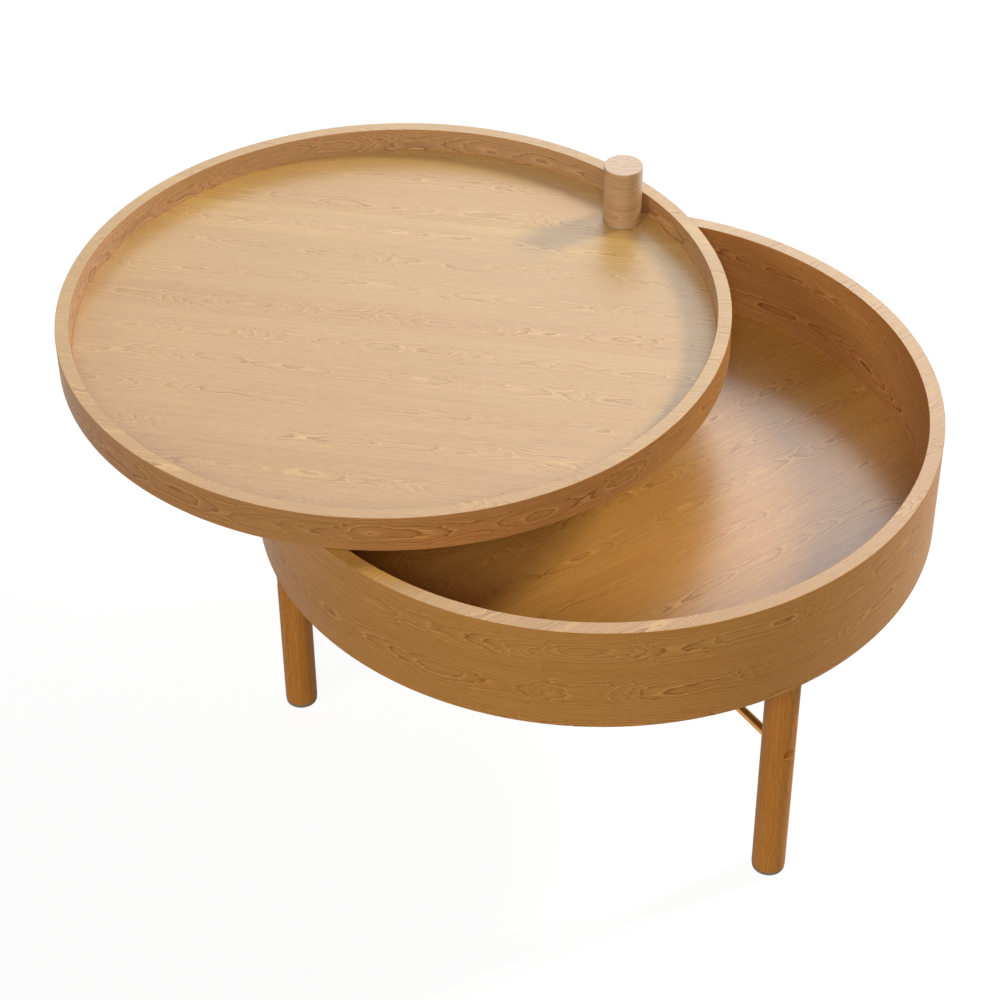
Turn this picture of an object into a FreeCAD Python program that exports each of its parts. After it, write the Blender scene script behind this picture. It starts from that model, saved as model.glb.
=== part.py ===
"""Swivel coffee table: a round storage drum on three legs under a round tray.

The tray turns about a peg that stands at the edge of both, so that it uncovers the drum.
Millimetres, +Z up. The origin is the point of the floor under the middle of the drum.
"""

import FreeCAD, Part
import os
import re

import Sketcher

doc = FreeCAD.newDocument("swivel_coffee_table")

# ---------------------------------------------------------------- driving dimensions

DIMENSIONS = (
    # storage drum
    ("drum_radius", 360, "outer radius of the drum and of the tray"),
    ("drum_wall", 16, "thickness of the drum's bent wall"),
    ("drum_bottom", 288, "height of the drum's underside above the floor"),
    ("drum_height", 122.8, "height of the drum's wall"),
    ("drum_board", 18, "thickness of the drum's bottom board"),
    ("glue_line", 0.05, "gap left round a board that is glued into its wall"),
    ("edge_round", 0.8, "rounding of the drum's and the tray's edges"),
    # legs and feet
    ("leg_radius", 17.75, "radius of a turned leg"),
    ("leg_circle", 329.4, "radius of the circle on which the legs stand"),
    ("leg_back_angle", 60, "direction of the back leg from the drum's axis"),
    ("leg_left_angle", 180, "direction of the left leg"),
    ("leg_right_angle", 300, "direction of the right leg"),
    ("pad_radius", 17.2, "radius of a felt foot pad"),
    ("pad_thick", 4.5, "thickness of a felt foot pad"),
    # leg fixings
    ("stud_radius", 4, "radius of a leg's fixing stud"),
    ("stud_in_leg", 40, "length of the stud inside the leg"),
    ("stud_in_insert", 12, "length of the stud inside the drum's board"),
    ("insert_radius", 6, "outer radius of a threaded insert"),
    ("insert_length", 13, "length of a threaded insert"),
    ("thread_gap", 0.02, "gap between a plain modelled thread and its seat"),
    # rods that tie the legs together
    ("rod_radius", 5, "radius of a tie rod"),
    ("rod_height", 178.3, "height of the rods' axes above the floor"),
    ("rod_gap", 0.05, "gap round a rod in its bore"),
    ("recess_radius", 6, "radius of the recess on a leg's outer side"),
    ("recess_depth", 6, "depth of that recess, at whose bottom the rod ends"),
    ("hub_radius", 18, "radius of the hub at which the rods meet"),
    ("hub_height", 22, "height of the hub"),
    ("hub_core", 8, "distance of a rod's inner end from the hub's axis"),
    ("grub_radius", 2.5, "radius of the grub screw that holds a rod"),
    ("grub_circle", 13.5, "radius of the circle of the grub screws"),
    # pivot
    ("pivot_circle", 320, "distance of the pivot from the drum's and the tray's axes"),
    ("pivot_angle", 80, "direction of the pivot from the drum's axis"),
    ("swing", -45, "turn of the tray from closed"),
    ("shaft_radius", 6, "radius of the pivot bolt"),
    ("shaft_length", 166.5, "length of the pivot bolt under its head"),
    ("shaft_hole", 6.3, "radius of the holes that clear the pivot bolt"),
    ("head_circumradius", 10.97, "radius to the corners of the bolt's hexagon head"),
    ("head_thick", 7.5, "thickness of the bolt's head"),
    ("plate_radius", 18.5, "radius of the washer under the drum's board"),
    ("plate_thick", 2.5, "thickness of that washer"),
    ("column_radius", 21.8, "radius of the column and of the peg"),
    ("thrust_radius", 20, "radius of the washer on top of the column"),
    ("thrust_thick", 1.5, "thickness of the washer on top of the column"),
    ("bush_bore", 6.04, "bore radius of the bush that turns on the bolt"),
    ("bush_radius", 9, "outer radius of the bush"),
    ("flange_radius", 15, "radius of the bush's flange"),
    ("flange_thick", 1.5, "thickness of the bush's flange"),
    ("slip_radius", 20.6, "radius of the washer under the peg"),
    ("slip_thick", 1, "thickness of the washer under the peg"),
    ("peg_height", 70, "height of the peg"),
    ("peg_round", 1.2, "rounding of the peg's ends"),
    ("peg_insert_radius", 8, "outer radius of the peg's threaded insert"),
    ("peg_insert_length", 25, "length of the peg's threaded insert"),
    ("peg_bore_depth", 32, "depth of the peg's bore"),
    # screws that keep the column from turning
    ("screw_radius", 2, "radius of a column screw"),
    ("screw_length", 40, "length of a column screw under its head"),
    ("screw_head", 4, "radius of a column screw's head"),
    ("screw_sink", 3, "depth of the recess for a column screw's head"),
    ("screw_offset", 14, "distance of a column screw from the pivot's axis"),
    # tray
    ("tray_bottom", 411.5, "height of the tray's underside above the floor"),
    ("tray_height", 41, "height of the tray's rim"),
    ("tray_wall", 15, "thickness of the tray's bent rim"),
    ("tray_board", 13, "thickness of the tray's board"),
)

sheet = doc.addObject("Spreadsheet::Sheet", "Dimensions")
for row, (alias, value, meaning) in enumerate(DIMENSIONS, start=1):
    sheet.set(f"A{row}", meaning)
    sheet.set(f"B{row}", str(value))
    sheet.setAlias(f"B{row}", alias)
doc.recompute()

SIZES = {alias: value for alias, value, meaning in DIMENSIONS}
NAMED = {alias: f"Dimensions.{alias}" for alias in SIZES}


def cells(formula):
    """The formula with each dimension's name pointed at its cell of the sheet."""
    return re.sub(r"[a-z]\w+", lambda word: NAMED.get(word[0], word[0]), formula)


def place(obj, x="0", y="0", z="0", turn="0"):
    """Puts an object at x, y, z and turns it about the vertical, all as formulas."""
    x, y, z, turn = (cells(formula) for formula in (x, y, z, turn))
    spot = f"vector({x}; {y}; {z})"
    obj.setExpression("Placement", f"placement({spot}; rotation(vector(0; 0; 1); {turn}))")


def place_polar(obj, radius, angle, z="0"):
    """Puts an object at a radius and an angle from the drum's axis, with its X pointing outwards."""
    place(obj, f"{radius} * cos({angle})", f"{radius} * sin({angle})", z, angle)


# ---------------------------------------------------------------- modelling helpers


def new_body(label):
    body = doc.addObject("PartDesign::Body", label)
    body.Label = label
    return body


def new_sketch(body, name, role="XY_Plane", offset="0"):
    """A sketch on one of the body's own origin planes, moved along the plane's normal."""
    sketch = body.newObject("Sketcher::SketchObject", name)
    plane = next(p for p in body.Origin.OriginFeatures if p.Role == role)
    sketch.AttachmentSupport = [(plane, "")]
    sketch.MapMode = "FlatFace"
    sketch.setExpression("AttachmentOffset.Base.z", cells(offset))
    return sketch


def add_circle(sketch, tag, radius, x=None, y=None):
    """A circle at the sketch's origin, or at the positive distances x and y from it."""
    start = FreeCAD.Vector(1 if x else 0, 1 if y else 0, 0)
    geometry = sketch.addGeometry(Part.Circle(start, FreeCAD.Vector(0, 0, 1), 1))
    rules = [("Radius", (geometry, 1), f"{tag}_radius", radius)]
    if x is None and y is None:
        sketch.addConstraint(Sketcher.Constraint("Coincident", geometry, 3, -1, 1))
    elif x is None:
        sketch.addConstraint(Sketcher.Constraint("PointOnObject", geometry, 3, -2))
    elif y is None:
        sketch.addConstraint(Sketcher.Constraint("PointOnObject", geometry, 3, -1))
    if x is not None:
        rules.append(("DistanceX", (-1, 1, geometry, 3, 1), f"{tag}_x", x))
    if y is not None:
        rules.append(("DistanceY", (-1, 1, geometry, 3, 1), f"{tag}_y", y))
    for kind, where, name, formula in rules:
        index = sketch.addConstraint(Sketcher.Constraint(kind, *where))
        sketch.renameConstraint(index, name)
        sketch.setExpression(f"Constraints.{name}", cells(formula))


def pad(body, name, sketch, length):
    feature = body.newObject("PartDesign::Pad", name)
    feature.Profile = sketch
    feature.setExpression("Length", cells(length))
    sketch.Visibility = False
    doc.recompute()
    return feature


def pocket(body, name, sketch, depth=None, forward=False):
    """Cuts against the sketch's normal, or along it. It goes through everything without a depth."""
    before = body.Shape.Volume
    feature = body.newObject("PartDesign::Pocket", name)
    feature.Profile = sketch
    feature.Reversed = forward
    if depth is None:
        feature.Type = "ThroughAll"
        feature.Midplane = not forward
    else:
        feature.setExpression("Length", cells(depth))
    doc.recompute()
    if body.Shape.Volume >= before:
        raise RuntimeError(f"{name} of {body.Label} cuts nothing")
    return feature


def circles_at(feature, height, radius):
    """Names of the feature's full circles of that radius at that height."""
    near = 0.01
    names = []
    for number, edge in enumerate(feature.Shape.Edges, start=1):
        curve = edge.Curve
        if not isinstance(curve, Part.Circle) or not edge.isClosed():
            continue
        if abs(curve.Center.z - height) < near and abs(curve.Radius - radius) < near:
            names.append(f"Edge{number}")
    return names


def round_circles(body, name, feature, radius, circles):
    """Rounds the feature's circles, each given as (height, radius)."""
    edges = [edge for spot in circles for edge in circles_at(feature, *spot)]
    if len(edges) != len(circles):
        raise RuntimeError(f"{name} of {body.Label} finds {len(edges)} of {len(circles)} edges")
    rounding = body.newObject("PartDesign::Fillet", name)
    rounding.Base = (feature, edges)
    rounding.setExpression("Radius", cells(radius))
    doc.recompute()
    return rounding


def disc(label, radius, thickness):
    """A body with one round pad that starts at height 0."""
    body = new_body(label)
    sketch = new_sketch(body, f"{label}_outline")
    add_circle(sketch, "outer", radius)
    return body, pad(body, f"{label}_pad", sketch, thickness)


def ring(label, outer, inner, height):
    """A body with one ring that starts at height 0."""
    body = new_body(label)
    sketch = new_sketch(body, f"{label}_outline")
    add_circle(sketch, "outer", outer)
    add_circle(sketch, "inner", inner)
    return body, pad(body, f"{label}_pad", sketch, height)


def bore(body, name, radius, top, depth=None, x=None, y=None):
    """A round hole that goes down from the height top, or all the way without a depth."""
    sketch = new_sketch(body, f"{name}_outline", offset=top)
    add_circle(sketch, name, radius, x, y)
    return pocket(body, name, sketch, depth)


def counterbore(body, name, radius, depth, x=None, y=None):
    """A round hole that goes up from the body's underside."""
    sketch = new_sketch(body, f"{name}_outline")
    add_circle(sketch, name, radius, x, y)
    return pocket(body, name, sketch, depth, forward=True)


def cylinder(name, radius, length):
    obj = doc.addObject("Part::Cylinder", name)
    obj.setExpression("Radius", cells(radius))
    obj.setExpression("Height", cells(length))
    return obj


def group(label, members):
    obj = doc.addObject("Part::Compound", label)
    obj.Label = label
    obj.Links = members
    return obj


# ---------------------------------------------------------------- drum

drum_wall, wall_pad = ring("drum_wall", "drum_radius", "drum_radius - drum_wall", "drum_height")
DRUM_INSIDE = SIZES["drum_radius"] - SIZES["drum_wall"]
round_circles(
    drum_wall,
    "wall_edges",
    wall_pad,
    "edge_round",
    (
        (0, SIZES["drum_radius"]),
        (SIZES["drum_height"], SIZES["drum_radius"]),
        (SIZES["drum_height"], DRUM_INSIDE),
    ),
)
place(drum_wall, z="drum_bottom")

# The board's own X axis points at the back leg, so that one insert hole lies on it.
drum_floor, floor_pad = disc("drum_floor", "drum_radius - drum_wall - glue_line", "drum_board")
insert_hole = counterbore(
    drum_floor, "insert_hole", "insert_radius + thread_gap", "insert_length + 1", x="leg_circle"
)
insert_holes = drum_floor.newObject("PartDesign::PolarPattern", "insert_holes")
insert_holes.Originals = [insert_hole]
insert_holes.Axis = (
    next(a for a in drum_floor.Origin.OriginFeatures if a.Role == "Z_Axis"),
    [""],
)
insert_holes.Angle = 360
insert_holes.Occurrences = 3
drum_floor.Tip = insert_holes
doc.recompute()

FROM_LEG = "(pivot_angle - leg_back_angle)"
bore(
    drum_floor,
    "pivot_hole",
    "shaft_hole",
    "drum_board",
    x=f"pivot_circle * cos{FROM_LEG}",
    y=f"pivot_circle * sin{FROM_LEG}",
)
SCREW_CIRCLES = ("(pivot_circle - screw_offset)", "(pivot_circle + screw_offset)")
for side, circle in zip(("near", "far"), SCREW_CIRCLES):
    x = f"{circle} * cos{FROM_LEG}"
    y = f"{circle} * sin{FROM_LEG}"
    bore(drum_floor, f"{side}_screw_hole", "screw_radius + rod_gap", "drum_board", x=x, y=y)
    counterbore(drum_floor, f"{side}_head_recess", "screw_head + rod_gap", "screw_sink", x=x, y=y)
place(drum_floor, z="drum_bottom", turn="leg_back_angle")

# ---------------------------------------------------------------- legs, rods and feet

LEGS = ("back", "left", "right")
for side in LEGS:
    angle = f"leg_{side}_angle"

    # The leg's own X axis points away from the drum's axis. Its rod passes along it.
    leg, leg_pad = disc(f"leg_{side}", "leg_radius", "drum_bottom - pad_thick")
    bore(
        leg,
        "stud_bore",
        "stud_radius + thread_gap",
        "drum_bottom - pad_thick",
        "stud_in_leg + 1",
    )
    rod_outline = new_sketch(leg, "rod_bore_outline", "YZ_Plane")
    add_circle(rod_outline, "rod_bore", "rod_radius + rod_gap", y="rod_height - pad_thick")
    pocket(leg, "rod_bore", rod_outline)
    recess_outline = new_sketch(leg, "rod_recess_outline", "YZ_Plane", "leg_radius - recess_depth")
    add_circle(recess_outline, "recess", "recess_radius", y="rod_height - pad_thick")
    pocket(leg, "rod_recess", recess_outline, "recess_depth + 1", forward=True)
    place_polar(leg, "leg_circle", angle, "pad_thick")

    foot_pad, felt = disc(f"foot_pad_{side}", "pad_radius", "pad_thick")
    place_polar(foot_pad, "leg_circle", angle)

    rod = new_body(f"rod_{side}")
    rod_section = new_sketch(rod, "rod_section", "YZ_Plane", "hub_core")
    add_circle(rod_section, "rod", "rod_radius")
    pad(rod, "rod_pad", rod_section, "leg_circle + leg_radius - recess_depth - hub_core")
    place(rod, z="rod_height", turn=angle)

# The hub's own X axis points at the back leg, so that one rod's bore lies on it.
rod_hub, hub_pad = disc("rod_hub", "hub_radius", "hub_height")
rod_mouth_outline = new_sketch(rod_hub, "rod_mouth_outline", "YZ_Plane", "hub_core")
add_circle(rod_mouth_outline, "rod_mouth", "rod_radius + rod_gap", y="hub_height / 2")
rod_mouth = pocket(rod_hub, "rod_mouth", rod_mouth_outline, "hub_radius", forward=True)
grub_bore = counterbore(
    rod_hub, "grub_bore", "grub_radius + thread_gap", "hub_height / 2 - rod_radius", x="grub_circle"
)
hub_bores = rod_hub.newObject("PartDesign::PolarPattern", "hub_bores")
hub_bores.Originals = [rod_mouth, grub_bore]
hub_bores.Axis = (next(a for a in rod_hub.Origin.OriginFeatures if a.Role == "Z_Axis"), [""])
hub_bores.Angle = 360
hub_bores.Occurrences = len(LEGS)
rod_hub.Tip = hub_bores
doc.recompute()
place(rod_hub, z="rod_height - hub_height / 2", turn="leg_back_angle")

grub_screws = []
studs = []
inserts = []
for side in LEGS:
    angle = f"leg_{side}_angle"

    grub = cylinder(f"grub_{side}", "grub_radius", "hub_height / 2 - rod_radius - thread_gap")
    place_polar(grub, "grub_circle", angle, "rod_height - hub_height / 2")
    grub_screws.append(grub)

    stud = cylinder(f"stud_{side}", "stud_radius", "stud_in_leg + stud_in_insert")
    place_polar(stud, "leg_circle", angle, "drum_bottom - stud_in_leg")
    studs.append(stud)

    sleeve = cylinder(f"insert_sleeve_{side}", "insert_radius", "insert_length")
    place_polar(sleeve, "leg_circle", angle, "drum_bottom")
    core = cylinder(f"insert_core_{side}", "stud_radius + thread_gap", "insert_length")
    place_polar(core, "leg_circle", angle, "drum_bottom")
    insert = doc.addObject("Part::Cut", f"insert_{side}")
    insert.Base = sleeve
    insert.Tool = core
    inserts.append(insert)

hub_grub_screws = group("hub_grub_screws", grub_screws)
leg_studs = group("leg_studs", studs)
leg_inserts = group("leg_inserts", inserts)

# ---------------------------------------------------------------- pivot

DRUM_FLOOR_TOP = "drum_bottom + drum_board"
COLUMN_HEIGHT = f"tray_bottom - thrust_thick - {DRUM_FLOOR_TOP.replace('+', '-')}"
PEG_FOOT = "tray_bottom + tray_board + slip_thick"


def place_on_pivot(obj, z):
    place_polar(obj, "pivot_circle", "pivot_angle", z)


pivot_column, column_pad = ring("pivot_column", "column_radius", "shaft_hole", COLUMN_HEIGHT)
for side, x in (("far", "screw_offset"), ("near", "-screw_offset")):
    pilot_outline = new_sketch(pivot_column, f"{side}_pilot_outline")
    pilot_outline.setExpression("AttachmentOffset.Base.x", cells(x))
    add_circle(pilot_outline, "pilot", "screw_radius + thread_gap")
    pilot_depth = "screw_length - drum_board + screw_sink + 1"
    pocket(pivot_column, f"{side}_pilot", pilot_outline, pilot_depth, forward=True)
place_on_pivot(pivot_column, DRUM_FLOOR_TOP)

screws = []
for side, circle in zip(("near", "far"), SCREW_CIRCLES):
    shank = cylinder(f"{side}_screw_shank", "screw_radius", "screw_length")
    place_polar(shank, circle, "pivot_angle", "drum_bottom + screw_sink")
    head = cylinder(f"{side}_screw_head", "screw_head", "screw_sink")
    place_polar(head, circle, "pivot_angle", "drum_bottom")
    screw = doc.addObject("Part::Fuse", f"{side}_screw")
    screw.Base = shank
    screw.Tool = head
    screws.append(screw)
column_screws = group("column_screws", screws)

thrust_washer, thrust_pad = ring("thrust_washer", "thrust_radius", "shaft_hole", "thrust_thick")
place_on_pivot(thrust_washer, "tray_bottom - thrust_thick")

slip_washer, slip_pad = ring("slip_washer", "slip_radius", "shaft_hole", "slip_thick")
place_on_pivot(slip_washer, "tray_bottom + tray_board")

pivot_washer, plate_pad = ring("pivot_washer", "plate_radius", "shaft_hole", "plate_thick")
place_on_pivot(pivot_washer, "drum_bottom - plate_thick")

bolt_head = doc.addObject("Part::Prism", "bolt_head")
bolt_head.Polygon = 6
bolt_head.setExpression("Circumradius", cells("head_circumradius"))
bolt_head.setExpression("Height", cells("head_thick"))
place_on_pivot(bolt_head, "drum_bottom - plate_thick - head_thick")
bolt_shank = cylinder("bolt_shank", "shaft_radius", "shaft_length")
place_on_pivot(bolt_shank, "drum_bottom - plate_thick")
pivot_bolt = doc.addObject("Part::Fuse", "pivot_bolt")
pivot_bolt.Label = "pivot_bolt"
pivot_bolt.Base = bolt_head
pivot_bolt.Tool = bolt_shank

peg, peg_pad = disc("peg", "column_radius", "peg_height")
peg_edges = round_circles(
    peg,
    "peg_edges",
    peg_pad,
    "peg_round",
    ((0, SIZES["column_radius"]), (SIZES["peg_height"], SIZES["column_radius"])),
)
counterbore(peg, "shaft_bore", "shaft_hole", "peg_bore_depth")
counterbore(peg, "insert_bore", "peg_insert_radius + thread_gap", "peg_insert_length")
place_on_pivot(peg, PEG_FOOT)

peg_insert, insert_pad = ring(
    "peg_insert", "peg_insert_radius", "shaft_radius + thread_gap", "peg_insert_length"
)
place_on_pivot(peg_insert, PEG_FOOT)

# ---------------------------------------------------------------- tray

# The tray's own X axis points from its middle at the pivot.
TRAY_TURN = "(pivot_angle + swing)"
TRAY_X = f"pivot_circle * (cos(pivot_angle) - cos{TRAY_TURN})"
TRAY_Y = f"pivot_circle * (sin(pivot_angle) - sin{TRAY_TURN})"

tray_rim, rim_pad = ring("tray_rim", "drum_radius", "drum_radius - tray_wall", "tray_height")
round_circles(
    tray_rim,
    "rim_edges",
    rim_pad,
    "edge_round",
    (
        (0, SIZES["drum_radius"]),
        (SIZES["tray_height"], SIZES["drum_radius"]),
        (SIZES["tray_height"], SIZES["drum_radius"] - SIZES["tray_wall"]),
    ),
)
place(tray_rim, TRAY_X, TRAY_Y, "tray_bottom", TRAY_TURN)

tray_floor, board_pad = disc("tray_floor", "drum_radius - tray_wall - glue_line", "tray_board")
bore(tray_floor, "bush_hole", "bush_radius + thread_gap", "tray_board", x="pivot_circle")
counterbore(
    tray_floor, "flange_recess", "flange_radius + thread_gap", "flange_thick", x="pivot_circle"
)
place(tray_floor, TRAY_X, TRAY_Y, "tray_bottom", TRAY_TURN)

tray_bush, flange_pad = disc("tray_bush", "flange_radius", "flange_thick")
barrel_outline = new_sketch(tray_bush, "barrel_outline")
add_circle(barrel_outline, "barrel", "bush_radius")
pad(tray_bush, "barrel_pad", barrel_outline, "tray_board")
bore(tray_bush, "bush_bore", "bush_bore", "tray_board")
place_on_pivot(tray_bush, "tray_bottom")

# ---------------------------------------------------------------- check and write

doc.recompute()

for obj in doc.Objects:
    if "Invalid" in obj.State or "Error" in obj.State:
        raise RuntimeError(f"{obj.Label} did not build: {obj.State}")

NODES = [
    "drum_wall",
    "drum_floor",
    *(f"leg_{side}" for side in LEGS),
    *(f"foot_pad_{side}" for side in LEGS),
    *(f"rod_{side}" for side in LEGS),
    "rod_hub",
    "hub_grub_screws",
    "leg_studs",
    "leg_inserts",
    "pivot_column",
    "column_screws",
    "pivot_bolt",
    "pivot_washer",
    "thrust_washer",
    "slip_washer",
    "peg",
    "peg_insert",
    "tray_rim",
    "tray_floor",
    "tray_bush",
]

os.makedirs("parts", exist_ok=True)
for label in NODES:
    shape = doc.getObjectsByLabel(label)[0].Shape
    if shape.isNull() or not shape.isValid() or not shape.Solids:
        raise RuntimeError(f"{label} has no valid solid")
    shape.exportStep(f"parts/{label}.step")
    low, high = shape.BoundBox.ZMin, shape.BoundBox.ZMax
    print(f"{label}: {len(shape.Solids)} solid(s), {shape.Volume / 1000:.1f} cm3, z {low:.2f} to {high:.2f}")
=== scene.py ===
"""Looks for the swivel coffee table: oak drum and tray, turned legs, brass rods, felt feet."""

import math

import bmesh
import bpy
from mathutils import Matrix, Vector


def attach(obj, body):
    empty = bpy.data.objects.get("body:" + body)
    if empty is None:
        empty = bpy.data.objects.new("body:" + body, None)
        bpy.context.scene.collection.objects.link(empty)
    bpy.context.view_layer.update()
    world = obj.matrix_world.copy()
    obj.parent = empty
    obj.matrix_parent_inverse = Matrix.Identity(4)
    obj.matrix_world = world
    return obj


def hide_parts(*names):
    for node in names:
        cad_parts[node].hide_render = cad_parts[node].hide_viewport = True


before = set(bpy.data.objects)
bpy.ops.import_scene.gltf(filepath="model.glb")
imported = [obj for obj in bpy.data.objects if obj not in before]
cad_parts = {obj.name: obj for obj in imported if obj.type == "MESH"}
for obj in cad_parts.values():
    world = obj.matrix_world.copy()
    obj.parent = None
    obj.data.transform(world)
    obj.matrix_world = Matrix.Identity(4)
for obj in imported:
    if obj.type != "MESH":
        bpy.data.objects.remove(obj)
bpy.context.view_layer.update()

# ---------------------------------------------------------------- sizes, in metres and degrees

DRUM_RADIUS = 0.360
DRUM_WALL = 0.016
DRUM_BOTTOM = 0.288
DRUM_TOP = 0.4108
DRUM_BOARD_TOP = 0.306
TRAY_WALL = 0.015
TRAY_BOTTOM = 0.4115
TRAY_TOP = 0.4525
TRAY_BOARD_TOP = 0.4245
GLUE_LINE = 0.00005
EDGE_ROUND = 0.0008
BEAD = 0.0009

LEG_CIRCLE = 0.3294
LEG_RADIUS = 0.01775
LEG_ROUND = 0.0006
LEG_DIRECTIONS = {"back": 60, "left": 180, "right": 300}
PAD_RADIUS = 0.0172
PAD_THICK = 0.0045
PAD_ROUND = 0.0009
RECESS_RADIUS = 0.006
RECESS_DEPTH = 0.006

ROD_HEIGHT = 0.1783
ROD_RADIUS = 0.005
ROD_START = 0.008
ROD_ROUND = 0.0005
HUB_RADIUS = 0.018
HUB_HALF = 0.011
HUB_ROUND = 0.001

PIVOT_CIRCLE = 0.320
PIVOT_DIRECTION = 80
TRAY_SWING = -45
PEG_RADIUS = 0.0218
PEG_FOOT = 0.4255
PEG_TOP = 0.4955
PEG_ROUND = 0.0007

WALL_STEPS = 320
SMALL_STEPS = 96
RECESS_STEPS = 64
CORNER_STEPS = 4
SHARP_CORNER = 60


def at_angle(radius, degrees, height=0.0):
    turn = math.radians(degrees)
    return Vector((radius * math.cos(turn), radius * math.sin(turn), height))


DRUM_MIDDLE = Vector((0, 0, 0))
PIVOT = at_angle(PIVOT_CIRCLE, PIVOT_DIRECTION)
TRAY_MIDDLE = PIVOT - at_angle(PIVOT_CIRCLE, PIVOT_DIRECTION + TRAY_SWING)

# directions of the grain in the two boards, and of the joint in each bent veneer
DRUM_GRAIN = 31.3
TRAY_GRAIN = DRUM_GRAIN + TRAY_SWING
DRUM_JOINT = 256.7
TRAY_JOINT = 20
PEG_JOINT = 60

# ---------------------------------------------------------------- node helpers


def put(tree, kind, links=None, **settings):
    """Adds a node, sets its plain settings, and fills its inputs by name or number."""
    node = tree.nodes.new(kind)
    for name, value in settings.items():
        setattr(node, name, value)
    for key, value in (links or {}).items():
        socket = node.inputs[key]
        if isinstance(value, bpy.types.NodeSocket):
            tree.links.new(value, socket)
        else:
            socket.default_value = value
    return node


def math_node(tree, operation, first, second=0.0, third=0.0, clamp=False):
    inputs = {0: first, 1: second, 2: third}
    return put(tree, "ShaderNodeMath", inputs, operation=operation, use_clamp=clamp).outputs[0]


def times(tree, value, factor):
    return math_node(tree, "MULTIPLY", value, factor)


def plus(tree, value, other):
    return math_node(tree, "ADD", value, other)


def minus(tree, value, other):
    return math_node(tree, "SUBTRACT", value, other)


def larger(tree, value, other):
    return math_node(tree, "MAXIMUM", value, other)


def remap(tree, value, low, high, to_low=0.0, to_high=1.0, smooth=False):
    """Takes low to high over to to_low to to_high, and holds the ends beyond them."""
    inputs = {"Value": value, 1: low, 2: high, 3: to_low, 4: to_high}
    kind = "SMOOTHSTEP" if smooth else "LINEAR"
    node = put(tree, "ShaderNodeMapRange", inputs, interpolation_type=kind, clamp=True)
    return node.outputs[0]


def mix_colour(tree, amount, first, second, blend="MIX"):
    inputs = {0: amount, 6: first, 7: second}
    return put(tree, "ShaderNodeMix", inputs, data_type="RGBA", blend_type=blend).outputs[2]


def pack_vector(tree, x, y, z):
    return put(tree, "ShaderNodeCombineXYZ", {0: x, 1: y, 2: z}).outputs[0]


def split_vector(tree, vector):
    return put(tree, "ShaderNodeSeparateXYZ", {0: vector}).outputs


def noise(tree, vector, scale=1.0, detail=2.0, rough=0.5):
    inputs = {"Vector": vector, "Scale": scale, "Detail": detail, "Roughness": rough}
    return put(tree, "ShaderNodeTexNoise", inputs).outputs[0]


def linear(red, green, blue):
    """A colour written as 0 to 255 on the screen, as the linear value a shader wants."""

    def channel(value):
        value /= 255
        return value / 12.92 if value <= 0.04045 else ((value + 0.055) / 1.055) ** 2.4

    return (channel(red), channel(green), channel(blue), 1.0)


# ---------------------------------------------------------------- oak figure, shared by all wood

# Inside the figure, lengths are in millimetres and noises in waves to the millimetre. In its
# functions, run is how far along its log a place lies, across and face are how far across the
# whole surface and across the stave's own face, and deep is how far into the wood.

FIGURE_INPUTS = (
    ("Vector", "NodeSocketVector", None),
    ("Stave Width", "NodeSocketFloat", 54.0),
    ("Stave Shift", "NodeSocketFloat", 0.0),
    ("Ring Width", "NodeSocketFloat", 3.0),
    ("Seed", "NodeSocketFloat", 0.0),
    ("Pale", "NodeSocketColor", None),
    ("Honey", "NodeSocketColor", None),
    ("Dark", "NodeSocketColor", None),
    ("Figure", "NodeSocketFloat", 0.5),
    ("Fibre", "NodeSocketFloat", 0.5),
)
FIGURE_OUTPUTS = (
    ("Color", "NodeSocketColor"),
    ("Height", "NodeSocketFloat"),
    ("Gloss Loss", "NodeSocketFloat"),
    ("Sheen", "NodeSocketFloat"),
)
MM_PER_METRE = 1000.0
LOG_LENGTH = 5000.0
RINGS_BETWEEN_STAVES = 37.0


def in_waves(tree, run, across, deep, lengthwise, crosswise):
    """A place in the wood as a noise takes it, stretched along the grain."""
    return pack_vector(
        tree,
        times(tree, run, lengthwise),
        times(tree, across, crosswise),
        times(tree, deep, crosswise),
    )


def swing(tree, vector, amount, detail=1.0):
    """Smooth noise that swings about zero, by about amount either way."""
    value = noise(tree, vector, detail=detail)
    return times(tree, minus(tree, value, 0.5), 4.0 * amount)


def cut_staves(tree, across, width, shift, seed):
    """Lays staves side by side, each from its own log.

    Gives the stave's number, the place across its face, and three random values of its log.
    """
    counted = plus(tree, math_node(tree, "DIVIDE", across, width), shift)
    stave = math_node(tree, "FLOOR", counted)
    face = times(tree, minus(tree, math_node(tree, "FRACT", counted), 0.5), width)
    own = {"Vector": pack_vector(tree, stave, seed, 0.0)}
    log = put(tree, "ShaderNodeTexWhiteNoise", own, noise_dimensions="3D").outputs["Color"]
    luck = put(tree, "ShaderNodeSeparateColor", {0: log}).outputs
    return stave, face, luck


def find_heart(tree, run, jagged, face, deep, luck, seed):
    """How far the heart of the log is from a place, across the face and down.

    The heart rises and sinks along the log, which opens the rings into flames and ovals.
    """
    rise = pack_vector(tree, times(tree, jagged, 0.0045), times(tree, luck[1], 9.0), seed)
    depth = remap(tree, noise(tree, rise, rough=0.45), 0.28, 0.72, 3.0, 28.0)
    wander = pack_vector(tree, times(tree, run, 0.005), times(tree, luck[1], 7.0), seed)
    line = times(tree, minus(tree, luck[2], 0.5), 12.0)
    line = plus(tree, line, swing(tree, wander, 5.0))
    return minus(tree, face, line), plus(tree, depth, deep)


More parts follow.
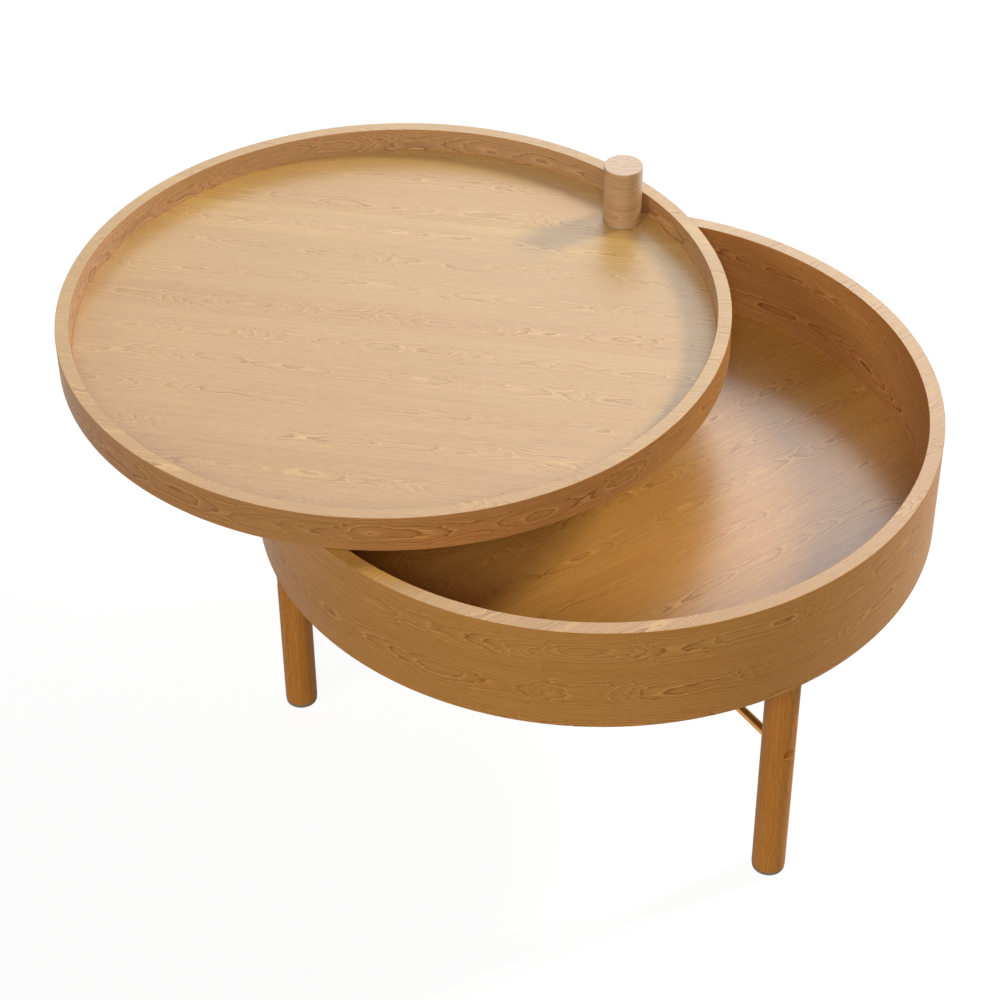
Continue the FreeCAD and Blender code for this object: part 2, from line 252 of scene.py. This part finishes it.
def find_radius(tree, run, face, deep, off_heart, below):
    """How far a place is from the heart, with the sway of the log and feathered rings."""
    squares = plus(tree, times(tree, off_heart, off_heart), times(tree, below, below))
    sway = swing(tree, in_waves(tree, run, face, deep, 0.022, 0.05), 1.2, detail=2.0)
    feather = swing(tree, in_waves(tree, run, face, deep, 0.05, 0.60), 0.25, detail=2.0)
    return plus(tree, math_node(tree, "SQRT", squares), plus(tree, sway, feather))


def read_year(tree, ring):
    """The part of its year at which a place grew, late wood, early wood, and the year's luck."""
    year = math_node(tree, "FRACT", ring)
    darkening = remap(tree, year, 0.70, 0.93, smooth=True)
    late = times(tree, darkening, remap(tree, year, 0.95, 1.0, 1.0, 0.0))
    early = remap(tree, year, 0.0, 0.24, 1.0, 0.0)
    number = {"W": math_node(tree, "FLOOR", ring)}
    luck = put(tree, "ShaderNodeTexWhiteNoise", number, noise_dimensions="1D").outputs["Value"]
    return year, late, early, luck


def ring_strength(tree, run, face, off_heart, radius, luck, year_luck, seed):
    """How clearly the rings show: in patches, near the heart but not at it, and by luck."""
    patches = pack_vector(tree, times(tree, run, 0.007), times(tree, face, 0.03), seed)
    aside = math_node(tree, "ABSOLUTE", off_heart)
    strength = remap(tree, year_luck, 0.0, 1.0, 0.45, 1.0)
    for value, low, high, to_low, to_high in (
        (noise(tree, patches, detail=1.0), 0.36, 0.56, 0.45, 1.0),
        (aside, 10.0, 22.0, 1.0, 0.25),
        (luck[1], 0.0, 1.0, 0.6, 1.0),
        (radius, 4.0, 10.0, 0.15, 1.0),
    ):
        strength = times(tree, strength, remap(tree, value, low, high, to_low, to_high))
    return strength


def wood_tone(tree, broad, fibre, streak, year, early, strength, fibre_amount):
    """How far the wood goes from pale, at 0, to honey, at 1."""
    tone = remap(tree, broad, 0.3, 0.7, 0.35, 0.65)
    fine = remap(tree, fibre, 0.3, 0.7, -0.5, 0.5)
    coarse = remap(tree, streak, 0.35, 0.65, -0.5, 0.5)
    tone = plus(tree, tone, times(tree, fine, fibre_amount))
    tone = plus(tree, tone, times(tree, coarse, fibre_amount))
    tone = plus(tree, tone, times(tree, minus(tree, year, 0.5), times(tree, strength, 0.5)))
    paling = times(tree, early, times(tree, strength, 1.2))
    return math_node(tree, "SUBTRACT", tone, paling, clamp=True)


def make_oak_figure():
    """Flat sawn oak in rows of staves: growth rings opened into flames and ovals, and fibres.

    Its vector runs in metres, with X along the grain, Y across the staves and Z into the wood.
    """
    tree = bpy.data.node_groups.new("oak_figure", "ShaderNodeTree")
    for name, kind, default in FIGURE_INPUTS:
        socket = tree.interface.new_socket(name, in_out="INPUT", socket_type=kind)
        if default is not None:
            socket.default_value = default
    for name, kind in FIGURE_OUTPUTS:
        tree.interface.new_socket(name, in_out="OUTPUT", socket_type=kind)

    given = tree.nodes.new("NodeGroupInput").outputs
    seed = given["Seed"]
    in_mm = put(tree, "ShaderNodeVectorMath", {0: given["Vector"]}, operation="SCALE")
    in_mm.inputs["Scale"].default_value = MM_PER_METRE
    along, across, deep = split_vector(tree, in_mm.outputs[0])
    stave, face, luck = cut_staves(tree, across, given["Stave Width"], given["Stave Shift"], seed)
    run = math_node(tree, "MULTIPLY_ADD", luck[0], LOG_LENGTH, along)

    # fibres shift what crosses them lengthwise, so the tips of the flames are jagged
    jag = swing(tree, in_waves(tree, run, across, deep, 0.03, 0.45), 6.0, detail=2.0)
    jagged = plus(tree, run, jag)

    # growth rings
    off_heart, below = find_heart(tree, run, jagged, face, deep, luck, seed)
    radius = find_radius(tree, run, face, deep, off_heart, below)
    ring = math_node(tree, "DIVIDE", radius, given["Ring Width"])
    ring = plus(tree, ring, times(tree, stave, RINGS_BETWEEN_STAVES))
    year, late, early, year_luck = read_year(tree, ring)
    strength = ring_strength(tree, run, face, off_heart, radius, luck, year_luck, seed)
    strength = times(tree, strength, given["Figure"])

    # fibres, streaks and pores, much longer than wide, and the broad drift of the colour
    fibre = noise(tree, in_waves(tree, run, across, deep, 0.018, 0.85), detail=4.0, rough=0.7)
    streak = noise(tree, in_waves(tree, run, across, deep, 0.006, 0.30), detail=3.0, rough=0.6)
    grain = noise(tree, in_waves(tree, run, across, deep, 0.055, 1.1), detail=3.0, rough=0.6)
    flecks = remap(tree, grain, 0.44, 0.28)
    pores = remap(tree, grain, 0.56, 0.72)
    drift = pack_vector(tree, times(tree, run, 0.004), times(tree, across, 0.03), luck[1])
    broad = noise(tree, drift)

    # colour: pale to honey, lit by early wood and flecks, darkened by late wood and pores
    tone = wood_tone(tree, broad, fibre, streak, year, early, strength, given["Fibre"])
    colour = mix_colour(tree, tone, given["Pale"], given["Honey"])
    shine = larger(tree, times(tree, early, strength), times(tree, flecks, 0.6))
    colour = mix_colour(tree, times(tree, shine, 0.42), colour, given["Pale"], blend="ADD")
    mark = larger(tree, times(tree, late, strength), times(tree, pores, 0.3))
    colour = mix_colour(tree, mark, colour, given["Dark"])

    # relief, and how much lacquer stands on the surface
    height = plus(tree, times(tree, mark, -1.0), times(tree, fibre, 0.25))
    sheen = plus(tree, remap(tree, fibre, 0.3, 0.7, 0.84, 1.0), times(tree, pores, -0.3))
    sheen = times(tree, sheen, remap(tree, mark, 0.0, 1.0, 1.0, 0.65))

    shown = {"Color": colour, "Height": height, "Gloss Loss": mark, "Sheen": sheen}
    put(tree, "NodeGroupOutput", shown)
    return tree


OAK_FIGURE = make_oak_figure()

# ---------------------------------------------------------------- oak materials

# pale, honey and dark of each cut of oak
TRAY_BOARD_COLOURS = (linear(192, 151, 82), linear(168, 124, 54), linear(138, 91, 38))
# the drum board's colours are the drum rim's oak tinted redder, with a darker dark: painted shade,
# for the floor that lies in shade under the tray
DRUM_BOARD_SHADE_TINTED_COLOURS = (linear(194, 143, 72), linear(170, 117, 48), linear(118, 66, 25))
DRUM_RIM_COLOURS = (linear(191, 146, 72), linear(167, 119, 48), linear(122, 72, 28))
TRAY_WALL_COLOURS = (linear(192, 139, 82), linear(172, 116, 62), linear(118, 66, 26))
DRUM_WALL_COLOURS = (linear(199, 142, 74), linear(179, 118, 53), linear(120, 64, 22))
TRAY_INNER_COLOURS = (linear(188, 141, 91), linear(166, 117, 67), linear(113, 68, 34))
DRUM_INNER_COLOURS = (linear(194, 138, 80), linear(173, 116, 58), linear(112, 64, 28))
LEG_COLOURS = (linear(199, 134, 61), linear(179, 111, 43), linear(122, 64, 20))
PEG_COLOURS = (linear(198, 159, 114), linear(172, 130, 88), linear(118, 76, 42))

# light and dark staves of the boards: where each starts, in metres across from the middle, and
# its tint
STAVE_TINTS = (
    (-0.360, (0.97, 0.90, 0.82)),
    (-0.262, (0.92, 0.84, 0.75)),
    (-0.232, (1.00, 0.97, 0.97)),
    (-0.122, (1.02, 1.01, 1.03)),
    (-0.036, (1.04, 1.05, 1.06)),
    (-0.018, (0.98, 0.93, 0.86)),
    (0.030, (1.00, 1.00, 1.00)),
    (0.144, (1.08, 1.10, 1.13)),
    (0.185, (1.13, 1.20, 1.24)),
    (0.198, (1.01, 0.99, 0.93)),
)
BUMP_STRENGTH = 0.12
BUMP_HEIGHT = 0.0003


def new_material(name):
    material = bpy.data.materials.new(name)
    material.use_nodes = True
    tree = material.node_tree
    tree.nodes.clear()
    surface = tree.nodes.new("ShaderNodeBsdfPrincipled")
    put(tree, "ShaderNodeOutputMaterial", {"Surface": surface.outputs[0]})
    return material, tree, surface


def object_place(tree):
    return tree.nodes.new("ShaderNodeTexCoord").outputs["Object"]


def stave_tint(tree, vector):
    """The tint of the stave at a place on a board, from a ramp that runs across it."""
    across = split_vector(tree, vector)[1]
    place = remap(tree, across, -DRUM_RADIUS, DRUM_RADIUS)
    ramp = put(tree, "ShaderNodeValToRGB", {0: place})
    ramp.color_ramp.interpolation = "CONSTANT"
    stops = ramp.color_ramp.elements
    while len(stops) < len(STAVE_TINTS):
        stops.new(1.0)
    for stop, (start, tint) in zip(stops, STAVE_TINTS):
        stop.position = (start + DRUM_RADIUS) / (2 * DRUM_RADIUS)
        stop.color = (*tint, 1.0)
    return ramp.outputs[0]


def oak(
    name,
    grain,
    colours,
    stave=54.2,
    shift=0.352,
    ring=3.0,
    seed=0.0,
    figure=0.5,
    fibre=0.4,
    coat=0.25,
    gloss=0.12,
    haze=0.3,
    lacquer=1.5,
    staves=False,
):
    """A satin oak material. grain(tree, place) gives the place in the grain's own directions.

    The widths stave and ring are in millimetres. coat is how much lacquer there is, lacquer its
    index and haze its roughness, and gloss is the shine of the wood below. With staves, the
    light and dark staves of a board show.
    """
    material, tree, surface = new_material(name)
    place = grain(tree, object_place(tree))
    inputs = {
        "Vector": place,
        "Stave Width": stave,
        "Stave Shift": shift,
        "Ring Width": ring,
        "Seed": seed,
        "Pale": colours[0],
        "Honey": colours[1],
        "Dark": colours[2],
        "Figure": figure,
        "Fibre": fibre,
    }
    group = put(tree, "ShaderNodeGroup", inputs, node_tree=OAK_FIGURE).outputs
    colour = group["Color"]
    if staves:
        colour = mix_colour(tree, 1.0, colour, stave_tint(tree, place), blend="MULTIPLY")
    tree.links.new(colour, surface.inputs["Base Color"])
    rough = remap(tree, group["Gloss Loss"], 0.0, 1.0, 0.45, 0.62)
    tree.links.new(rough, surface.inputs["Roughness"])
    bump = put(tree, "ShaderNodeBump", {"Height": group["Height"]})
    bump.inputs["Strength"].default_value = BUMP_STRENGTH
    bump.inputs["Distance"].default_value = BUMP_HEIGHT
    tree.links.new(bump.outputs[0], surface.inputs["Normal"])
    surface.inputs["Specular IOR Level"].default_value = gloss
    tree.links.new(times(tree, group["Sheen"], coat), surface.inputs["Coat Weight"])
    surface.inputs["Coat Roughness"].default_value = haze
    surface.inputs["Coat IOR"].default_value = lacquer
    return material


def own_directions(tree, place, middle, degrees):
    """X, Y and Z of a place, measured from middle, with X in the direction given by degrees."""
    node = put(tree, "ShaderNodeMapping", {"Vector": place}, vector_type="TEXTURE")
    node.inputs["Location"].default_value = (middle[0], middle[1], 0.0)
    node.inputs["Rotation"].default_value = (0.0, 0.0, math.radians(degrees))
    return split_vector(tree, node.outputs[0])


def flat_grain(middle, degrees):
    """Grain laid flat on a board, in the direction given by degrees."""

    def grain(tree, place):
        x, y, z = own_directions(tree, place, middle, degrees)
        return pack_vector(tree, x, y, 0.0)

    return grain


def bent_grain(middle, joint, radius):
    """Grain bent round a ring, from the joint of its veneer."""

    def grain(tree, place):
        x, y, z = own_directions(tree, place, middle, joint + 180)
        turn = math_node(tree, "ARCTAN2", y, x)
        return pack_vector(tree, times(tree, turn, radius), z, 0.0)

    return grain


def upright_grain(middle, degrees):
    """Grain that runs up a turned piece."""

    def grain(tree, place):
        x, y, z = own_directions(tree, place, middle, degrees)
        return pack_vector(tree, z, y, x)

    return grain


BOARD_LOOK = {
    "seed": 3.0,
    "ring": 2.5,
    "figure": 0.75,
    "fibre": 0.35,
    "coat": 1.0,
    "gloss": 0.2,
    "staves": True,
}
TRAY_FLAT = flat_grain(TRAY_MIDDLE, TRAY_GRAIN)
DRUM_FLAT = flat_grain(DRUM_MIDDLE, DRUM_GRAIN)
TRAY_BOARD_OAK = oak(
    "oak_tray_board", TRAY_FLAT, TRAY_BOARD_COLOURS, haze=0.45, lacquer=2.55, **BOARD_LOOK
)
# the drum board's oak carries painted shade: its colours are tinted redder than the drum rim's
DRUM_BOARD_SHADE_TINTED_OAK = oak(
    "oak_drum_board_shade_tinted", DRUM_FLAT, DRUM_BOARD_SHADE_TINTED_COLOURS, haze=0.3, lacquer=2.15, **BOARD_LOOK
)
DRUM_RIM_OAK = oak(
    "oak_drum_rim", DRUM_FLAT, DRUM_RIM_COLOURS, haze=0.3, lacquer=2.1, **BOARD_LOOK
)

TRAY_BENT_LOOK = {"shift": 0.53, "ring": 2.5, "figure": 1.0}
DRUM_BENT_LOOK = {"shift": 0.43, "ring": 2.6, "figure": 1.0}
TRAY_BENT = bent_grain(TRAY_MIDDLE, TRAY_JOINT, DRUM_RADIUS)
DRUM_BENT = bent_grain(DRUM_MIDDLE, DRUM_JOINT, DRUM_RADIUS)
TRAY_OUTER_OAK = oak(
    "oak_tray_outer",
    TRAY_BENT,
    TRAY_WALL_COLOURS,
    seed=4.0,
    coat=0.15,
    gloss=0.07,
    **TRAY_BENT_LOOK,
)
TRAY_INNER_OAK = oak(
    "oak_tray_inner", TRAY_BENT, TRAY_INNER_COLOURS, seed=5.0, coat=1.0, lacquer=2.4, **TRAY_BENT_LOOK
)
DRUM_OUTER_OAK = oak(
    "oak_drum_outer",
    DRUM_BENT,
    DRUM_WALL_COLOURS,
    seed=7.0,
    coat=0.12,
    gloss=0.07,
    **DRUM_BENT_LOOK,
)
DRUM_INNER_OAK = oak(
    "oak_drum_inner", DRUM_BENT, DRUM_INNER_COLOURS, seed=9.0, coat=0.15, **DRUM_BENT_LOOK
)


def leg_oak(side, degrees):
    """Oak of one leg, whose grain differs from the other legs'."""
    return oak(
        f"oak_leg_{side}",
        upright_grain(at_angle(LEG_CIRCLE, degrees), degrees),
        LEG_COLOURS,
        shift=0.5 + degrees,
        ring=2.4,
        seed=float(degrees),
        coat=0.05,
        gloss=0.05,
    )


LEG_OAK = {side: leg_oak(side, degrees) for side, degrees in LEG_DIRECTIONS.items()}
PEG_TOP_OAK = oak(
    "oak_peg_top", flat_grain(PIVOT, TRAY_GRAIN), PEG_COLOURS, coat=1.0, lacquer=2.1, seed=2.0
)
PEG_SIDE_OAK = oak(
    "oak_peg_side",
    bent_grain(PIVOT, PEG_JOINT, PEG_RADIUS),
    PEG_COLOURS,
    coat=0.9,
    lacquer=2.0,
    fibre=0.7,
    seed=11.0,
)
COLUMN_OAK = oak("oak_column", upright_grain(PIVOT, PIVOT_DIRECTION), DRUM_INNER_COLOURS, seed=6.0)

# ---------------------------------------------------------------- other finishes

BRASS_COLOURS = (linear(214, 160, 92), linear(190, 132, 66))
STEEL_COLOURS = (linear(150, 152, 156), linear(188, 190, 192))
NYLON_COLOURS = (linear(196, 190, 176), linear(214, 209, 196))
FELT_COLOURS = (linear(148, 138, 122), linear(120, 110, 96))


def clouded(name, colours, scale, detail, smoothest, roughest, metallic=0.0):
    """A plain finish whose colour and roughness drift a little over the surface."""
    material, tree, surface = new_material(name)
    cloud = noise(tree, object_place(tree), scale=scale, detail=detail)
    tree.links.new(mix_colour(tree, cloud, *colours), surface.inputs["Base Color"])
    rough = remap(tree, cloud, 0.2, 0.8, smoothest, roughest)
    tree.links.new(rough, surface.inputs["Roughness"])
    surface.inputs["Metallic"].default_value = metallic
    return material


def pressed_felt():
    material, tree, surface = new_material("pressed_felt")
    place = object_place(tree)
    hairs = noise(tree, place, scale=1800.0, detail=4.0, rough=0.7)
    clumps = noise(tree, place, scale=260.0)
    tree.links.new(mix_colour(tree, clumps, *FELT_COLOURS), surface.inputs["Base Color"])
    tree.links.new(remap(tree, hairs, 0.2, 0.8, 0.85, 1.0), surface.inputs["Roughness"])
    bump = put(tree, "ShaderNodeBump", {"Height": hairs})
    bump.inputs["Strength"].default_value = 0.6
    bump.inputs["Distance"].default_value = 0.0004
    tree.links.new(bump.outputs[0], surface.inputs["Normal"])
    return material


BRASS = clouded("polished_brass", BRASS_COLOURS, 60.0, 3.0, 0.08, 0.16, metallic=1.0)
STEEL = clouded("zinc_steel", STEEL_COLOURS, 240.0, 4.0, 0.28, 0.46, metallic=1.0)
NYLON = clouded("washer_nylon", NYLON_COLOURS, 400.0, 3.0, 0.45, 0.6)
FELT = pressed_felt()

# ---------------------------------------------------------------- modelling helpers


def finish_piece(name, bm, materials, body, node):
    """Makes the piece, which rides on a body and is shown in place of a CAD node."""
    mesh = bpy.data.meshes.new(name)
    bm.to_mesh(mesh)
    bm.free()
    for material in materials:
        mesh.materials.append(material)
    piece = bpy.data.objects.new(name, mesh)
    bpy.context.scene.collection.objects.link(piece)
    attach(piece, body)
    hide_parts(node)


def round_corners(bm, amount):
    """Rounds every corner of a turned shape."""
    sharp = math.radians(SHARP_CORNER)
    corners = [e for e in bm.edges if e.is_manifold and e.calc_face_angle(0) > sharp]
    bmesh.ops.bevel(
        bm,
        geom=corners,
        offset=amount,
        segments=CORNER_STEPS,
        profile=0.5,
        affect="EDGES",
        material=-1,
        clamp_overlap=True,
    )


def turned(inner, outer, low, high, rounding, steps, board_top=None):
    """A turned ring, or a solid where inner is 0, about the vertical through the origin.

    With board_top the ring has a fine bead inside, where it meets the top of its board.
    """
    bm = bmesh.new()
    corners = [(inner, low), (outer, low), (outer, high), (inner, high)]
    if board_top:
        corners.append((inner, board_top + BEAD))
        corners.append((inner - BEAD, board_top + GLUE_LINE))
        corners.append((inner, board_top + GLUE_LINE / 2))
    verts = [bm.verts.new((radius, 0.0, height)) for radius, height in corners]
    sides = [bm.edges.new((a, b)) for a, b in zip(verts, verts[1:])]
    if inner > 0:
        sides.append(bm.edges.new((verts[-1], verts[0])))
    bmesh.ops.spin(
        bm,
        geom=verts + sides,
        cent=(0, 0, 0),
        axis=(0, 0, 1),
        angle=math.tau,
        steps=steps,
        use_merge=True,
        use_duplicate=False,
    )
    bmesh.ops.remove_doubles(bm, verts=bm.verts[:], dist=1e-6)
    bmesh.ops.recalc_face_normals(bm, faces=bm.faces[:])
    if rounding:
        round_corners(bm, rounding)
    return bm


# how much of a face's normal points up or down where the face counts as level, and as upright
LEVEL = 0.985
UPRIGHT = 0.18


def sort_faces(bm, flat=0, side=0, edge=0, inside=0):
    """Gives each kind of face its material's number, and smooths each kind by itself."""
    for face in bm.faces:
        face.smooth = True
        slope = abs(face.normal.z)
        if slope > LEVEL:
            face.material_index = flat
        elif slope > UPRIGHT:
            face.material_index = edge
        elif face.normal.xy.dot(face.calc_center_median().xy) > 0:
            face.material_index = side
        else:
            face.material_index = inside
    for item in bm.edges:
        if len(item.link_faces) == 2:
            slopes = [abs(f.normal.z) for f in item.link_faces]
            kinds = [(s > LEVEL) + 2 * (s < UPRIGHT) for s in slopes]
            item.smooth = kinds[0] == kinds[1]


def move(bm, offset, degrees=0.0):
    bm.transform(Matrix.Translation(offset) @ Matrix.Rotation(math.radians(degrees), 4, "Z"))


def drill(bm, name, cutters):
    """Cuts turned cutters out of a turned piece and gives the result back as a bmesh."""
    blanks = []
    for number, shape in enumerate([bm, *cutters]):
        mesh = bpy.data.meshes.new(f"{name}_blank_{number}")
        shape.to_mesh(mesh)
        shape.free()
        blank = bpy.data.objects.new(mesh.name, mesh)
        bpy.context.scene.collection.objects.link(blank)
        blanks.append(blank)
    for blank in blanks[1:]:
        cut = blanks[0].modifiers.new("bore", "BOOLEAN")
        cut.operation = "DIFFERENCE"
        cut.solver = "EXACT"
        cut.object = blank
    bpy.context.view_layer.update()
    evaluated = blanks[0].evaluated_get(bpy.context.evaluated_depsgraph_get())
    result = bmesh.new()
    result.from_mesh(evaluated.to_mesh())
    for blank in blanks:
        mesh = blank.data
        bpy.data.objects.remove(blank)
        bpy.data.meshes.remove(mesh)
    return result


# ---------------------------------------------------------------- drum and tray


def bent_wall(thick, low, high, board_top):
    """A wall bent into a ring: material 0 on its rims, 1 outside, 2 on its edges, 3 inside."""
    inner = DRUM_RADIUS - thick
    wall = turned(inner, DRUM_RADIUS, low, high, EDGE_ROUND, WALL_STEPS, board_top)
    sort_faces(wall, side=1, edge=2, inside=3)
    return wall


def add_drum_wall():
    wall = bent_wall(DRUM_WALL, DRUM_BOTTOM, DRUM_TOP, DRUM_BOARD_TOP)
    looks = [DRUM_RIM_OAK, DRUM_OUTER_OAK, DRUM_OUTER_OAK, DRUM_INNER_OAK]
    finish_piece("drum_wall_bent", wall, looks, "base", "drum_wall")


def add_tray_rim():
    rim = bent_wall(TRAY_WALL, TRAY_BOTTOM, TRAY_TOP, TRAY_BOARD_TOP)
    move(rim, TRAY_MIDDLE)
    looks = [TRAY_BOARD_OAK, TRAY_OUTER_OAK, TRAY_OUTER_OAK, TRAY_INNER_OAK]
    finish_piece("tray_rim_bent", rim, looks, "tray", "tray_rim")


add_drum_wall()
add_tray_rim()

# ---------------------------------------------------------------- legs, feet and rods

UP_TO_OUTWARDS = Matrix.Rotation(math.radians(90), 4, "Y")


def add_leg(side, degrees):
    """A turned leg with the drilled recess in which its rod ends."""
    leg = turned(0, LEG_RADIUS, PAD_THICK, DRUM_BOTTOM, LEG_ROUND, SMALL_STEPS)
    floor = LEG_RADIUS - RECESS_DEPTH
    recess = turned(0, RECESS_RADIUS, floor, 2 * LEG_RADIUS, 0, RECESS_STEPS)
    recess.transform(Matrix.Translation((0, 0, ROD_HEIGHT)) @ UP_TO_OUTWARDS)
    leg = drill(leg, f"leg_{side}", [recess])
    sort_faces(leg)
    move(leg, at_angle(LEG_CIRCLE, degrees), degrees)
    finish_piece(f"leg_{side}_turned", leg, [LEG_OAK[side]], "base", f"leg_{side}")


def add_foot(side, degrees):
    pad = turned(0, PAD_RADIUS, 0, PAD_THICK, PAD_ROUND, SMALL_STEPS)
    sort_faces(pad)
    move(pad, at_angle(LEG_CIRCLE, degrees))
    finish_piece(f"foot_{side}_felt", pad, [FELT], "base", f"foot_pad_{side}")


def add_rod(side, degrees):
    """A brass rod from the hub to the recess in its leg."""
    end = LEG_CIRCLE + LEG_RADIUS - RECESS_DEPTH
    rod = turned(0, ROD_RADIUS, ROD_START, end, ROD_ROUND, SMALL_STEPS)
    sort_faces(rod)
    rod.transform(UP_TO_OUTWARDS)
    move(rod, Vector((0, 0, ROD_HEIGHT)), degrees)
    finish_piece(f"rod_{side}_polished", rod, [BRASS], "base", f"rod_{side}")


def add_hub():
    low = ROD_HEIGHT - HUB_HALF
    hub = turned(0, HUB_RADIUS, low, ROD_HEIGHT + HUB_HALF, HUB_ROUND, SMALL_STEPS)
    sort_faces(hub)
    finish_piece("rod_hub_polished", hub, [BRASS], "base", "rod_hub")


for side, degrees in LEG_DIRECTIONS.items():
    add_leg(side, degrees)
    add_foot(side, degrees)
    add_rod(side, degrees)
add_hub()

# ---------------------------------------------------------------- peg


def add_peg():
    peg = turned(0, PEG_RADIUS, PEG_FOOT, PEG_TOP, PEG_ROUND, SMALL_STEPS)
    sort_faces(peg, side=1)
    move(peg, PIVOT)
    finish_piece("peg_turned", peg, [PEG_TOP_OAK, PEG_SIDE_OAK], "base", "peg")


add_peg()

# ---------------------------------------------------------------- CAD nodes that keep their shape

CAD_FINISHES = {
    "drum_floor": DRUM_BOARD_SHADE_TINTED_OAK,
    "pivot_column": COLUMN_OAK,
    "tray_floor": TRAY_BOARD_OAK,
    "tray_bush": BRASS,
    "leg_inserts": BRASS,
    "peg_insert": BRASS,
    "hub_grub_screws": STEEL,
    "leg_studs": STEEL,
    "column_screws": STEEL,
    "pivot_bolt": STEEL,
    "pivot_washer": STEEL,
    "thrust_washer": NYLON,
    "slip_washer": NYLON,
}
for node, material in CAD_FINISHES.items():
    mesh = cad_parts[node].data
    mesh.materials.clear()
    mesh.materials.append(material)

# ---------------------------------------------------------------- floor, light and camera

FLOOR_HALF = 12.0
FLOOR_GREY = (0.15, 0.15, 0.15, 1.0)
FLOOR_WHITE = 0.9
WHITE = (1, 1, 1, 1)
AMBIENT = 0.04

LAMP_TARGET = Vector((0, 0, 0.4))
# direction round the table, height above the horizon, distance, brightness of its face, width,
# height, and whether the lacquer mirrors it
LAMPS = (
    ("key_right", 23, 34, 20.0, 76.0, 4.2, 4.2, False),
    ("side_soft", 26, 24, 20.0, 3.0, 10.0, 5.0, True),
    ("back_gloss", 66, 32, 20.0, 1.9, 20.0, 8.0, True),
    ("fill_left", 222, 26, 20.0, 9.0, 7.0, 7.0, False),
    ("fill_front", 266, 36, 20.0, 15.3, 7.0, 7.0, False),
)

SENSOR_WIDTH = 36.0
LENS = 94.304
CAMERA_SPOT = Vector((-0.21702954, -2.15786631, 2.07733169))
CAMERA_RIGHT = Vector((0.99829467, -0.05808015, -0.00586859))
CAMERA_UP = Vector((0.04164579, 0.63813586, 0.76879663))
CAMERA_AHEAD = Vector((0.04090687, 0.76772998, -0.63946642))
NEAREST = 0.05
FARTHEST = 60.0


def looked_at(tree):
    """1 where the camera, a mirror or glass looks at a surface, 0 where it only lights others."""
    ray = tree.nodes.new("ShaderNodeLightPath").outputs
    seen = larger(tree, ray["Is Camera Ray"], ray["Is Glossy Ray"])
    return larger(tree, seen, ray["Is Transmission Ray"])


def floor_material():
    """A grey floor that lights the table softly and looks white, apart from its shadows."""
    material = bpy.data.materials.new("studio_floor")
    material.use_nodes = True
    tree = material.node_tree
    tree.nodes.clear()
    grey = put(tree, "ShaderNodeBsdfDiffuse", {"Color": FLOOR_GREY}).outputs[0]
    white = put(tree, "ShaderNodeEmission", {"Color": WHITE, "Strength": FLOOR_WHITE}).outputs[0]
    bright = put(tree, "ShaderNodeAddShader", {0: grey, 1: white}).outputs[0]
    shade = put(tree, "ShaderNodeMixShader", {0: looked_at(tree), 1: grey, 2: bright})
    put(tree, "ShaderNodeOutputMaterial", {"Surface": shade.outputs[0]})
    return material


def add_floor():
    bm = bmesh.new()
    bmesh.ops.create_grid(bm, x_segments=1, y_segments=1, size=FLOOR_HALF)
    mesh = bpy.data.meshes.new("studio_floor")
    bm.to_mesh(mesh)
    bm.free()
    mesh.materials.append(floor_material())
    floor = bpy.data.objects.new("studio_floor", mesh)
    bpy.context.scene.collection.objects.link(floor)


def add_world():
    """Faint light from all round, which looks white."""
    world = bpy.data.worlds.new("studio")
    bpy.context.scene.world = world
    world.use_nodes = True
    tree = world.node_tree
    tree.nodes.clear()
    faint = put(tree, "ShaderNodeBackground", {"Color": WHITE, "Strength": AMBIENT}).outputs[0]
    white = put(tree, "ShaderNodeBackground", {"Color": WHITE, "Strength": 1.0}).outputs[0]
    shade = put(tree, "ShaderNodeMixShader", {0: looked_at(tree), 1: faint, 2: white})
    put(tree, "ShaderNodeOutputWorld", {"Surface": shade.outputs[0]})


def add_lamp(name, azimuth, elevation, distance, brightness, width, height, mirrored):
    """An oval soft box that faces the table. A mirror shows it as bright as brightness."""
    lamp = bpy.data.lights.new(name, "AREA")
    lamp.shape = "ELLIPSE"
    lamp.size = width
    lamp.size_y = height
    face = math.pi * width * height / 4
    lamp.energy = brightness * math.pi * face
    holder = bpy.data.objects.new(name, lamp)
    bpy.context.scene.collection.objects.link(holder)
    holder.visible_glossy = mirrored
    tilt = math.radians(elevation)
    spot = at_angle(distance * math.cos(tilt), azimuth, distance * math.sin(tilt))
    holder.location = LAMP_TARGET + spot
    holder.rotation_euler = (-spot).to_track_quat("-Z", "Y").to_euler()


def add_camera():
    camera = bpy.data.cameras.new("studio_camera")
    camera.sensor_width = SENSOR_WIDTH
    camera.lens = LENS
    camera.clip_start = NEAREST
    camera.clip_end = FARTHEST
    holder = bpy.data.objects.new("studio_camera", camera)
    bpy.context.scene.collection.objects.link(holder)
    turn = Matrix((CAMERA_RIGHT, CAMERA_UP, -CAMERA_AHEAD)).transposed().to_4x4()
    holder.matrix_world = Matrix.Translation(CAMERA_SPOT) @ turn
    bpy.context.scene.camera = holder


add_floor()
add_world()
for lamp_row in LAMPS:
    add_lamp(*lamp_row)
add_camera()

bpy.context.scene.view_settings.view_transform = "Standard"
